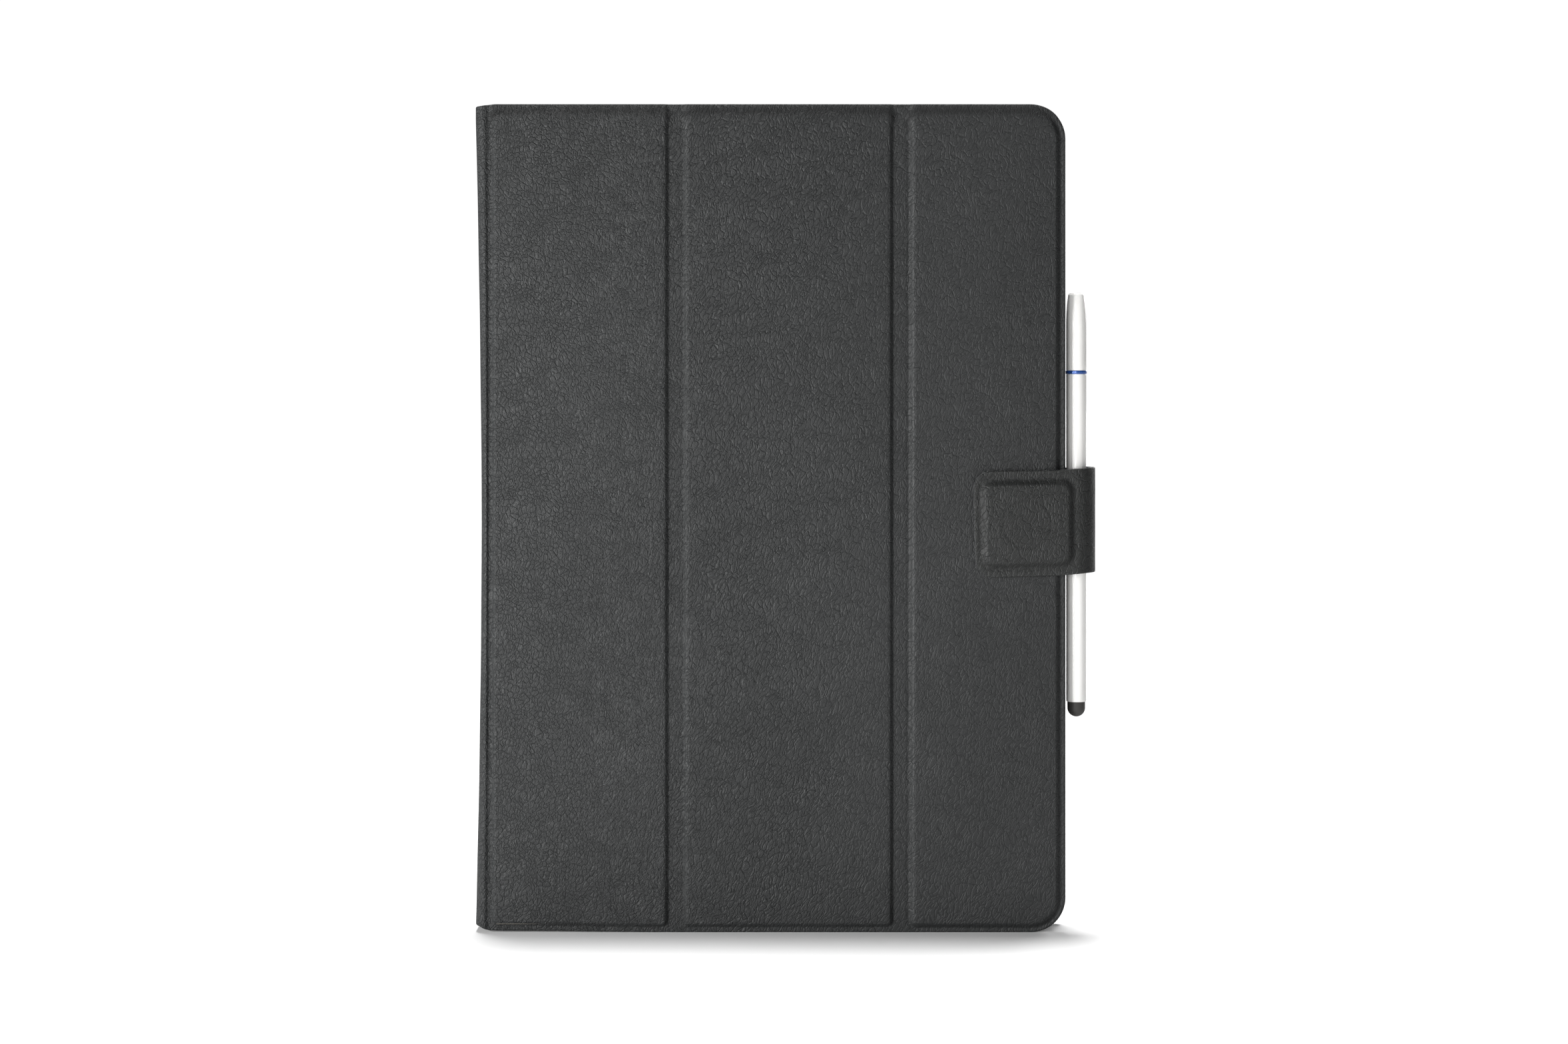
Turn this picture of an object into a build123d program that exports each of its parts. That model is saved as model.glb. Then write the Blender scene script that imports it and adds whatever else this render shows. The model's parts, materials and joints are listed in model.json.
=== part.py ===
from build123d import *
import os

# Folding tablet case standing on its lower short edge.
# X: across the case, spine on -X, closure tab and stylus on +X.
# Y: through the thickness, front cover on -Y, back cover on +Y.
# Z: up. The origin is at the middle of the case's footprint. Millimetres.

# ---------------------------------------------------------------- sizes
case_h = 264.0            # height of the covers
x_spine = -98.6           # outer face of the spine
x_edge = 88.8             # free right-hand edge of both covers
corner_r = 11.0           # right-hand corners of both covers

x_bend = -95.0            # line where the spine meets each cover
x_fold_1 = -35.05         # middle of the first groove
x_fold_2 = 36.90          # middle of the second groove
slit = 0.1                # half of the gap left at each bend line

y_front = -6.2            # face of the raised panels
y_flange = -5.0           # face of the grooves and of the border
skin_t = 0.7              # outer skin
lining_t = 0.7            # inner lining
y_lining = -3.6           # inner face of the front cover
y_board_front = y_front + skin_t
y_board_back = y_lining - lining_t

raised = [(-93.5, -37.7), (-32.4, 33.9), (39.8, 86.5)]   # raised panels, left to right
raised_z0, raised_z1 = 2.1, 261.6
raised_r = 1.7

y_back = 8.9              # outer face of the back cover
back_board_y = (8.2, 6.8)
back_lining_y = (6.8, 6.2)
turn_in = 1.2             # skin turned in around the edge of the back board

tray_x = (-90.6, 86.4)    # moulded tray that grips the tablet
tray_z = (5.2, 258.8)
tray_wall = 1.2
tray_floor_y = 5.2
tray_rim_y = -3.2
tray_r = 11.2
lip = 0.8                 # snap lip over the tablet's corners
lip_y = -2.4

cam_x, cam_z = 71.5, 244.5    # camera window
cam_hole_r, cam_open_r = 7.2, 5.8

strap_z0, strap_z1 = 113.2, 147.1     # closure strap
strap_out_x = 98.6
strap_skin_t, strap_lining_t = 0.8, 0.6
root_axis = (91.0, 8.2)       # bend line of the strap at the back cover
flap_axis = (92.2, -7.9)      # bend line of the strap at its front corner
strap_r = 6.6                 # outer radius of the strap's two corners
flap_x0 = 60.3                # free end of the flap
pad_x = (62.8, 91.2)          # raised pad on the flap
pad_z = (116.4, 143.6)
pad_y = -8.9

pen_x, pen_y, pen_r = 93.2, 1.0, 3.2      # stylus
pen_z0, pen_tip_z, pen_ring_z, pen_top_z = 68.1, 72.9, (178.0, 179.1), 204.0
loop_in_r, loop_out_r = 3.3, 3.8
loop_z = (120.0, 140.0)

os.makedirs("parts", exist_ok=True)


def save(piece, name):
    piece.part.label = name
    export_step(piece.part, f"parts/{name}.step")


def at_y(y):
    # sketch plane facing the front: local x is X, local y is Z, extruding goes towards -Y
    return Plane.XZ.offset(-y)


def plate(x0, x1, z0, z1, r=0.0, r_left=0.0, mode=Mode.ADD):
    # a rectangle in the XZ plane with its right and left corners rounded
    with BuildSketch(mode=Mode.PRIVATE) as s:
        with Locations(((x0 + x1) / 2, (z0 + z1) / 2)):
            Rectangle(x1 - x0, z1 - z0)
        if r > 0:
            fillet(s.vertices().group_by(Axis.X)[-1], radius=r)
        if r_left > 0:
            fillet(s.vertices().group_by(Axis.X)[0], radius=r_left)
    add(s.sketch_local, mode=mode)


# ---------------------------------------------------------------- back cover
with BuildPart() as back_skin:
    with BuildSketch(at_y(y_back)):
        plate(x_bend + slit, x_edge, 0, case_h, corner_r)
    extrude(amount=y_back - back_lining_y[1])
    with BuildSketch(at_y(back_board_y[0])):
        plate(x_bend + slit + turn_in, x_edge - turn_in, turn_in, case_h - turn_in, corner_r - turn_in)
    extrude(amount=back_board_y[0] - back_lining_y[1], mode=Mode.SUBTRACT)
    with BuildSketch(at_y(back_board_y[0])):
        plate(x_edge - 3, x_edge + 1, strap_z0 - 0.1, strap_z1 + 0.1)
    extrude(amount=back_board_y[0] - back_board_y[1], mode=Mode.SUBTRACT)
    with BuildSketch(at_y(y_back)):
        with Locations((cam_x, cam_z)):
            Circle(cam_hole_r)
    extrude(amount=3, mode=Mode.SUBTRACT)
save(back_skin, "back_skin")

with BuildPart() as back_board:
    with BuildSketch(at_y(back_board_y[0])):
        plate(x_bend + slit + turn_in, x_edge - turn_in, turn_in, case_h - turn_in, corner_r - turn_in)
        plate(77.9, x_edge, strap_z0 - 0.1, strap_z1 + 0.1, mode=Mode.SUBTRACT)
        with Locations((cam_x, cam_z)):
            Circle(cam_hole_r, mode=Mode.SUBTRACT)
    extrude(amount=back_board_y[0] - back_board_y[1])
save(back_board, "back_board")

with BuildPart() as back_lining:
    with BuildSketch(at_y(back_lining_y[0])):
        plate(x_bend + slit + turn_in, x_edge - turn_in, turn_in, case_h - turn_in, corner_r - turn_in)
        with Locations((cam_x, cam_z)):
            Circle(cam_hole_r, mode=Mode.SUBTRACT)
    extrude(amount=back_lining_y[0] - back_lining_y[1])
save(back_lining, "back_lining")

# moulded tray: floor, walls, snap lips at the corners and cut-outs for the tablet's controls
with BuildPart() as tablet_tray:
    with BuildSketch(at_y(back_lining_y[1])):
        plate(*tray_x, *tray_z, tray_r, tray_r)
    extrude(amount=back_lining_y[1] - tray_rim_y)
    with BuildSketch(at_y(tray_floor_y)):
        plate(tray_x[0] + tray_wall, tray_x[1] - tray_wall, tray_z[0] + tray_wall, tray_z[1] - tray_wall,
              tray_r - tray_wall, tray_r - tray_wall)
    extrude(amount=tray_floor_y - tray_rim_y, mode=Mode.SUBTRACT)
    # lips over the four corners
    with BuildSketch(at_y(lip_y)):
        plate(tray_x[0] + 0.2, tray_x[1] - 0.2, tray_z[0] + 0.2, tray_z[1] - 0.2, tray_r - 0.2, tray_r - 0.2)
        plate(tray_x[0] + tray_wall + lip, tray_x[1] - tray_wall - lip, tray_z[0] + tray_wall + lip,
              tray_z[1] - tray_wall - lip, tray_r - tray_wall - lip, tray_r - tray_wall - lip, mode=Mode.SUBTRACT)
        plate(tray_x[0] + 30, tray_x[1] - 30, tray_z[0] - 5, tray_z[1] + 5, mode=Mode.SUBTRACT)
        plate(tray_x[0] - 5, tray_x[1] + 5, tray_z[0] + 30, tray_z[1] - 30, mode=Mode.SUBTRACT)
    extrude(amount=lip_y - tray_rim_y)
    # charging port, two speaker slots in the lower wall; jack and power key in the upper wall
    with BuildSketch(Plane.XY.offset(tray_z[0] - 1)):
        with Locations((-2.1, 0.3)):
            Rectangle(18, 8.2)
        with Locations((-32, 1.6), (28, 1.6)):
            Rectangle(24, 3.4)
    extrude(amount=tray_wall + 2, mode=Mode.SUBTRACT)
    with BuildSketch(Plane.XY.offset(tray_z[1] - tray_wall - 1)):
        with Locations((-72, 0.3), (60, 0.3)):
            Rectangle(12, 8.2)
    extrude(amount=tray_wall + 2, mode=Mode.SUBTRACT)
    # volume keys in the right-hand wall
    with BuildSketch(Plane.YZ.offset(tray_x[1] - tray_wall - 1)):
        with Locations((0.3, 212)):
            Rectangle(8.2, 30)
    extrude(amount=tray_wall + 2, mode=Mode.SUBTRACT)
    # camera window
    with BuildSketch(at_y(back_lining_y[1] + 0.1)):
        with Locations((cam_x, cam_z)):
            Circle(cam_hole_r)
    extrude(amount=1.2, mode=Mode.SUBTRACT)
save(tablet_tray, "tablet_tray")

with BuildPart() as camera_ring:
    with BuildSketch(at_y(y_back)):
        with Locations((cam_x, cam_z)):
            Circle(cam_hole_r)
            Circle(cam_open_r, mode=Mode.SUBTRACT)
    extrude(amount=y_back - tray_floor_y)
save(camera_ring, "camera_ring")

# end of the strap, glued between the back board's notch and the outer skin
with BuildPart() as strap_root:
    with BuildSketch(at_y(root_axis[1])):
        plate(78.0, root_axis[0] - slit, strap_z0, strap_z1)
    extrude(amount=strap_skin_t + strap_lining_t)
save(strap_root, "strap_root")

# ---------------------------------------------------------------- spine
with BuildPart() as spine_skin:
    with BuildSketch() as s:
        with Locations(((x_spine + x_bend - slit) / 2, (-5.6 + y_back) / 2)):
            Rectangle(x_bend - slit - x_spine, y_back + 5.6)
        fillet(s.vertices().group_by(Axis.X)[0], radius=2.6)
        with BuildSketch(mode=Mode.PRIVATE) as hollow:
            with Locations(((x_spine + skin_t + x_bend + 1) / 2, (-5.6 + y_back) / 2)):
                Rectangle(x_bend + 1 - x_spine - skin_t, y_back + 5.6 - 2 * skin_t)
            fillet(hollow.vertices().group_by(Axis.X)[0], radius=1.9)
        add(hollow.sketch_local, mode=Mode.SUBTRACT)
    extrude(amount=case_h)
save(spine_skin, "spine_skin")

with BuildPart() as spine_board:
    with BuildSketch(Plane.XY.offset(turn_in)):
        with Locations((x_spine + skin_t + 0.4, 1.65)):
            Rectangle(0.8, 9.0)
    extrude(amount=case_h - 2 * turn_in)
save(spine_board, "spine_board")

with BuildPart() as spine_lining:
    with BuildSketch() as s:
        with Locations(((x_spine + 1.5 + x_bend - slit) / 2, (-5.6 + y_back) / 2)):
            Rectangle(x_bend - slit - x_spine - 1.5, y_back + 5.6 - 2 * skin_t)
        fillet(s.vertices().group_by(Axis.X)[0], radius=1.3)
        with Locations(((x_spine + 2.2 + x_bend + 1) / 2, (-5.6 + y_back) / 2)):
            Rectangle(x_bend + 1 - x_spine - 2.2, y_back + 5.6 - 4 * skin_t, mode=Mode.SUBTRACT)
    extrude(amount=case_h)
save(spine_lining, "spine_lining")

# ---------------------------------------------------------------- front cover, three panels
limits = [(x_bend + slit, x_fold_1 - slit), (x_fold_1 + slit, x_fold_2 - slit), (x_fold_2 + slit, x_edge)]
plate_x = (64.5, 84.5)          # steel plate that the closure magnet holds
stand_x = (80.0, 84.0)          # magnets along the free edge, for the stand
stand_z = (40.0, 224.0)
wake_x, wake_z = 78.0, 187.0    # magnet that puts the screen to sleep

for n, ((a, b), (p, q)) in enumerate(zip(limits, raised), start=1):
    last = n == 3
    out_r = corner_r if last else 0.0
    top_r = corner_r - 2.3 if last else raised_r
    with BuildPart() as panel_skin:
        with BuildSketch(at_y(y_board_back)):
            plate(a, b, 0, case_h, out_r)
        extrude(amount=y_board_back - y_flange)
        with BuildSketch(at_y(y_flange)):
            plate(p, q, raised_z0, raised_z1, top_r, raised_r)
        extrude(amount=y_flange - y_front)
        with BuildSketch(at_y(y_board_back)):
            plate(p + skin_t, q - skin_t, raised_z0 + skin_t, raised_z1 - skin_t, top_r - skin_t, raised_r - skin_t)
        extrude(amount=y_board_back - y_board_front, mode=Mode.SUBTRACT)
        fillet(panel_skin.faces().sort_by(Axis.Y)[0].edges(), radius=0.5)
    save(panel_skin, f"panel_{n}_skin")

    with BuildPart() as panel_board:
        with BuildSketch(at_y(y_board_back)):
            plate(p + skin_t, q - skin_t, raised_z0 + skin_t, raised_z1 - skin_t, top_r - skin_t, raised_r - skin_t)
        extrude(amount=y_board_back - y_board_front)
        if n == 1:
            with BuildSketch(at_y(y_board_back)):
                plate(-88.0, -84.0, *stand_z)
            extrude(amount=0.5, mode=Mode.SUBTRACT)
        if n == 3:
            with BuildSketch(at_y(y_board_back)):
                plate(plate_x[0], plate_x[1] - 6.0, 120.0, 140.0)
            extrude(amount=0.5, mode=Mode.SUBTRACT)
            with BuildSketch(at_y(y_board_back)):
                for z in (45.0, 95.0, 165.0, 215.0):
                    plate(*stand_x, z - 10, z + 10)
                plate(wake_x - 9.0, wake_x - 1.0, wake_z - 8, wake_z + 8)
            extrude(amount=0.9, mode=Mode.SUBTRACT)
    save(panel_board, f"panel_{n}_board")

    with BuildPart() as panel_lining:
        with BuildSketch(at_y(y_lining)):
            plate(a, b, 0, case_h, out_r)
        extrude(amount=y_lining - y_board_back)
    save(panel_lining, f"panel_{n}_lining")

# steel strip in panel 1 that the magnets of panel 3 hold when the cover is folded into a stand
with BuildPart() as stand_strip:
    with BuildSketch(at_y(y_board_back)):
        plate(-88.0, -84.0, *stand_z)
    extrude(amount=0.5)
save(stand_strip, "stand_strip")

with BuildPart() as closure_plate:
    with BuildSketch(at_y(y_board_back)):
        plate(plate_x[0], plate_x[1] - 6.0, 120.0, 140.0)
    extrude(amount=0.5)
save(closure_plate, "closure_plate")

with BuildPart() as stand_magnets:
    with BuildSketch(at_y(y_board_back)):
        for z in (45.0, 95.0, 165.0, 215.0):
            plate(*stand_x, z - 10, z + 10)
    extrude(amount=0.9)
save(stand_magnets, "stand_magnets")

with BuildPart() as wake_magnet:
    with BuildSketch(at_y(y_board_back)):
        plate(wake_x - 9.0, wake_x - 1.0, wake_z - 8, wake_z + 8)
    extrude(amount=0.9)
save(wake_magnet, "wake_magnet")

# ---------------------------------------------------------------- closure strap
# side of the strap: it leaves the back cover, bends forward round the stylus and bends in again at the front
strap_h = strap_z1 - strap_z0
y_b, y_f = root_axis[1], flap_axis[1]


def strap_side(out, inner):
    # C-shaped section between two offsets from the strap's outer face
    x_far = strap_out_x
    with BuildSketch(mode=Mode.PRIVATE) as s:
        with Locations(((88 + x_far - out) / 2, (y_b + y_f) / 2)):
            Rectangle(x_far - out - 88, y_b - y_f - 2 * out)
        fillet(s.vertices().group_by(Axis.X)[-1], radius=strap_r - out)
        with BuildSketch(mode=Mode.PRIVATE) as h:
            with Locations(((87 + x_far - inner) / 2, (y_b + y_f) / 2)):
                Rectangle(x_far - inner - 87, y_b - y_f - 2 * inner)
            fillet(h.vertices().group_by(Axis.X)[-1], radius=strap_r - inner)
        add(h.sketch_local, mode=Mode.SUBTRACT)
        # the back arm starts at the root's bend line, the front arm ends at the flap's
        with Locations(((80 + root_axis[0] + slit) / 2, y_b - 1)):
            Rectangle(root_axis[0] + slit - 80, 6, mode=Mode.SUBTRACT)
        with Locations(((80 + flap_axis[0] + slit) / 2, y_f + 1)):
            Rectangle(flap_axis[0] + slit - 80, 6, mode=Mode.SUBTRACT)
    return s.sketch_local


with BuildPart() as strap_side_skin:
    with BuildSketch(Plane.XY.offset(strap_z0)):
        add(strap_side(0.0, strap_skin_t))
    extrude(amount=strap_h)
save(strap_side_skin, "strap_side_skin")

with BuildPart() as strap_side_lining:
    with BuildSketch(Plane.XY.offset(strap_z0)):
        add(strap_side(strap_skin_t, strap_skin_t + strap_lining_t))
    extrude(amount=strap_h)
save(strap_side_lining, "strap_side_lining")

# elastic loop that grips the stylus, sewn to the inside of the strap
strap_in_x = strap_out_x - strap_skin_t - strap_lining_t
with BuildPart() as pen_loop:
    with BuildSketch(Plane.XY.offset(loop_z[0])):
        with Locations((pen_x, pen_y)):
            Circle(loop_out_r)
        with Locations(((pen_x + strap_in_x) / 2, (y_b + y_f) / 2)):
            Rectangle(strap_in_x - pen_x, 2.8)
        with Locations((pen_x, pen_y)):
            Circle(loop_in_r, mode=Mode.SUBTRACT)
    extrude(amount=loop_z[1] - loop_z[0])
save(pen_loop, "pen_loop")

# flap: lies over the front cover's edge, with a raised pad that holds a magnet
with BuildPart() as flap_skin:
    with BuildSketch(at_y(y_f + strap_skin_t)):
        plate(flap_x0, flap_axis[0] - slit, strap_z0, strap_z1, 0.0, 6.0)
    extrude(amount=strap_skin_t)
    with BuildSketch(at_y(y_f)):
        plate(*pad_x, *pad_z, 2.6, 2.6)
    extrude(amount=y_f - pad_y)
    with BuildSketch(at_y(y_f + strap_skin_t)):
        plate(pad_x[0] + 0.7, pad_x[1] - 0.7, pad_z[0] + 0.7, pad_z[1] - 0.7, 1.9, 1.9)
    extrude(amount=strap_skin_t + 0.3, mode=Mode.SUBTRACT)
    fillet(flap_skin.faces().sort_by(Axis.Y)[0].edges(), radius=0.45)
save(flap_skin, "flap_skin")

with BuildPart() as flap_board:
    with BuildSketch(at_y(y_f + strap_skin_t)):
        plate(pad_x[0] + 0.7, pad_x[1] - 0.7, pad_z[0] + 0.7, pad_z[1] - 0.7, 1.9, 1.9)
    extrude(amount=strap_skin_t + 0.3)
    with BuildSketch(at_y(y_f + strap_skin_t)):
        with Locations((73.5, 130.0)):
            Circle(6.0)
    extrude(amount=0.8, mode=Mode.SUBTRACT)
save(flap_board, "flap_board")

with BuildPart() as flap_magnet:
    with BuildSketch(at_y(y_f + strap_skin_t)):
        with Locations((73.5, 130.0)):
            Circle(6.0)
    extrude(amount=0.8)
save(flap_magnet, "flap_magnet")

with BuildPart() as flap_lining:
    with BuildSketch(at_y(y_f + strap_skin_t + strap_lining_t)):
        plate(flap_x0, flap_axis[0] - slit, strap_z0, strap_z1, 0.0, 6.0)
    extrude(amount=strap_lining_t)
save(flap_lining, "flap_lining")

# ---------------------------------------------------------------- stylus
pen = Plane(origin=(pen_x, pen_y, 0))
pen_side = Plane(origin=(pen_x, pen_y, 0), x_dir=(1, 0, 0), z_dir=(0, -1, 0))   # half section: radius and height

with BuildPart() as stylus_barrel:
    with BuildSketch(pen.offset(pen_tip_z)):
        Circle(pen_r)
        Circle(2.4, mode=Mode.SUBTRACT)
    extrude(amount=pen_ring_z[0] - pen_tip_z)
save(stylus_barrel, "stylus_barrel")

with BuildPart() as stylus_ring:
    with BuildSketch(pen.offset(pen_ring_z[0])):
        Circle(3.4)
        Circle(2.4, mode=Mode.SUBTRACT)
    extrude(amount=pen_ring_z[1] - pen_ring_z[0])
save(stylus_ring, "stylus_ring")

# upper barrel with a spigot that plugs into the lower one
with BuildPart() as stylus_cap:
    with BuildSketch(pen_side):
        with BuildLine():
            Polyline((0, pen_ring_z[0] - 8), (2.38, pen_ring_z[0] - 8), (2.38, pen_ring_z[1]), (pen_r, pen_ring_z[1]),
                     (pen_r, 193.5))
            Spline((pen_r, 193.5), (3.05, 199.0), (2.62, 203.2), tangents=((0, 1), (-0.12, 1)))
            Polyline((2.62, 203.2), (2.0, pen_top_z), (0, pen_top_z), (0, pen_ring_z[0] - 8))
        make_face()
    revolve(axis=Axis((pen_x, pen_y, 0), (0, 0, 1)))
save(stylus_cap, "stylus_cap")

with BuildPart() as stylus_tip:
    with BuildSketch(pen_side):
        with BuildLine():
            Polyline((0, pen_tip_z + 6), (1.3, pen_tip_z + 6), (1.3, pen_tip_z), (2.85, pen_tip_z), (2.85, pen_z0 + 2.85))
            CenterArc((0, pen_z0 + 2.85), 2.85, 0, -90)
            Line((0, pen_z0), (0, pen_tip_z + 6))
        make_face()
    revolve(axis=Axis((pen_x, pen_y, 0), (0, 0, 1)))
save(stylus_tip, "stylus_tip")

with BuildPart() as stylus_ferrule:
    with BuildSketch(pen.offset(pen_tip_z)):
        Circle(2.4)
        Circle(1.3, mode=Mode.SUBTRACT)
    extrude(amount=12)
save(stylus_ferrule, "stylus_ferrule")
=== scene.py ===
import bpy
import bmesh
import json
import math
import numpy as np
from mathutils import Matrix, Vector


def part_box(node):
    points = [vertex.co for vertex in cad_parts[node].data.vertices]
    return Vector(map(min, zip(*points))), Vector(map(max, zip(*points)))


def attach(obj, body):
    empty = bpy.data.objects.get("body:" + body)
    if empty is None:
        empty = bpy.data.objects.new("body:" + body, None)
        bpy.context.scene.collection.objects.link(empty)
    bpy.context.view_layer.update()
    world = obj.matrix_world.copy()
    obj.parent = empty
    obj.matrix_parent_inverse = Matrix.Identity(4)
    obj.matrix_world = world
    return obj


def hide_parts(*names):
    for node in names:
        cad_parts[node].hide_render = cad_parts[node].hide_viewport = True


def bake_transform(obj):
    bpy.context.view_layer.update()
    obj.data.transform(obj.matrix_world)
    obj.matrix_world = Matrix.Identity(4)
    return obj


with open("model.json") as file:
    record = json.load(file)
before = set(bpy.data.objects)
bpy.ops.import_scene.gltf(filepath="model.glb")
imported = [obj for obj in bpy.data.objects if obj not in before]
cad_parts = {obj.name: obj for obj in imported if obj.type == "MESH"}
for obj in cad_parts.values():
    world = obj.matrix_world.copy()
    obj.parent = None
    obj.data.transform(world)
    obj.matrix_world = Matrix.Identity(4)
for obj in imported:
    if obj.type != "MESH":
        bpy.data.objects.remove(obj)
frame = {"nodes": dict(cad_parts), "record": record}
bpy.context.view_layer.update()


MM = 0.001
nodes = frame["nodes"]

# ---------------------------------------------------------------- dimensions, in millimetres
H = 264.0
X_EDGE, X_SPINE = 88.8, -98.6
CORNER = 11.0
Y_FLANGE, Y_SPINE_FRONT, Y_BACK = -5.0, -5.6, 8.9
STEP = 1.2
RAISED = [(-93.5, -37.7, 1.7), (-32.4, 33.9, 1.7), (39.8, 86.5, 8.7)]
R_Z0, R_Z1 = 2.1, 261.6
CAM = (71.5, 244.5)
STRAP_Z0, STRAP_Z1 = 113.2, 147.1
PEN = (93.2, 1.0)


# ---------------------------------------------------------------- node materials
class Mat:
    def __init__(self, name, **inputs):
        self.m = bpy.data.materials.new(name)
        self.m.use_nodes = True
        self.t = self.m.node_tree
        self.b = self.t.nodes["Principled BSDF"]
        for k, v in inputs.items():
            self.b.inputs[k.replace("_", " ")].default_value = v

    def node(self, kind, **props):
        n = self.t.nodes.new("ShaderNode" + kind)
        ins = props.pop("ins", {})
        for k, v in props.items():
            setattr(n, k, v)
        for k, v in ins.items():
            if hasattr(v, "is_output"):
                self.t.links.new(v, n.inputs[k])
            else:
                n.inputs[k].default_value = v
        return n

    def link(self, a, b):
        self.t.links.new(a, b)

    def math(self, op, a, b=None, c=None, clamp=False):
        n = self.node("Math", operation=op, use_clamp=clamp)
        for i, v in enumerate((a, b, c)):
            if v is None:
                continue
            if hasattr(v, "is_output"):
                self.link(v, n.inputs[i])
            else:
                n.inputs[i].default_value = v
        return n.outputs[0]

    def ramp(self, v, a, b, lo=0.0, hi=1.0, smooth=True):
        n = self.node("MapRange", interpolation_type="SMOOTHSTEP" if smooth else "LINEAR")
        self.link(v, n.inputs["Value"])
        n.inputs["From Min"].default_value = a
        n.inputs["From Max"].default_value = b
        n.inputs["To Min"].default_value = lo
        n.inputs["To Max"].default_value = hi
        return n.outputs["Result"]

    def mix(self, f, a, b):
        n = self.node("Mix", data_type="RGBA")
        for k, v in (("Factor", f), ("A", a), ("B", b)):
            s = [x for x in n.inputs if x.name == k and x.type == ("VALUE" if k == "Factor" else "RGBA")][0]
            if hasattr(v, "is_output"):
                self.link(v, s)
            else:
                s.default_value = v if k == "Factor" else (*v, 1.0)
        return [x for x in n.outputs if x.type == "RGBA"][0]

    def rest(self):
        return self.node("Attribute", attribute_type="GEOMETRY", attribute_name="rest").outputs["Vector"]

    def obj(self):
        """Object coordinates in millimetres."""
        c = self.node("TexCoord").outputs["Object"]
        n = self.node("VectorMath", operation="SCALE")
        self.link(c, n.inputs[0])
        n.inputs["Scale"].default_value = 1000.0
        return n.outputs[0]

    def mapping(self, vec, scale=(1, 1, 1), rot=(0, 0, 0), loc=(0, 0, 0)):
        n = self.node("Mapping")
        self.link(vec, n.inputs["Vector"])
        n.inputs["Scale"].default_value = scale
        n.inputs["Rotation"].default_value = rot
        n.inputs["Location"].default_value = loc
        return n.outputs[0]

    def noise(self, vec, scale, detail=2.0, rough=0.5, color=False, dist=0.0):
        n = self.node("TexNoise")
        self.link(vec, n.inputs["Vector"])
        n.inputs["Scale"].default_value = scale
        n.inputs["Detail"].default_value = detail
        n.inputs["Roughness"].default_value = rough
        n.inputs["Distortion"].default_value = dist
        return n.outputs["Color" if color else 0]

    def cells(self, vec, scale, feature="DISTANCE_TO_EDGE", random=1.0):
        n = self.node("TexVoronoi", feature=feature)
        self.link(vec, n.inputs["Vector"])
        n.inputs["Scale"].default_value = scale
        n.inputs["Randomness"].default_value = random
        return n.outputs["Distance"]

    def bump(self, height, distance, strength=1.0, normal=None):
        n = self.node("Bump")
        self.link(height, n.inputs["Height"])
        n.inputs["Distance"].default_value = distance
        n.inputs["Strength"].default_value = strength
        if normal is not None:
            self.link(normal, n.inputs["Normal"])
        self.link(n.outputs["Normal"], self.b.inputs["Normal"])
        return n.outputs["Normal"]

    def color(self, v):
        self.link(v, self.b.inputs["Base Color"])

    def rough(self, v):
        self.link(v, self.b.inputs["Roughness"])


def warp(m, vec, scale, amount):
    """vec moved about by a smooth noise, so that cells and creases aren't straight."""
    c = m.noise(vec, scale, 1.0, color=True)
    a = m.node("VectorMath", operation="SUBTRACT", ins={0: c, 1: (0.5, 0.5, 0.5)}).outputs[0]
    s = m.node("VectorMath", operation="SCALE")
    m.link(a, s.inputs[0])
    s.inputs["Scale"].default_value = amount
    return m.node("VectorMath", operation="ADD", ins={0: vec, 1: s.outputs[0]}).outputs[0]


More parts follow.
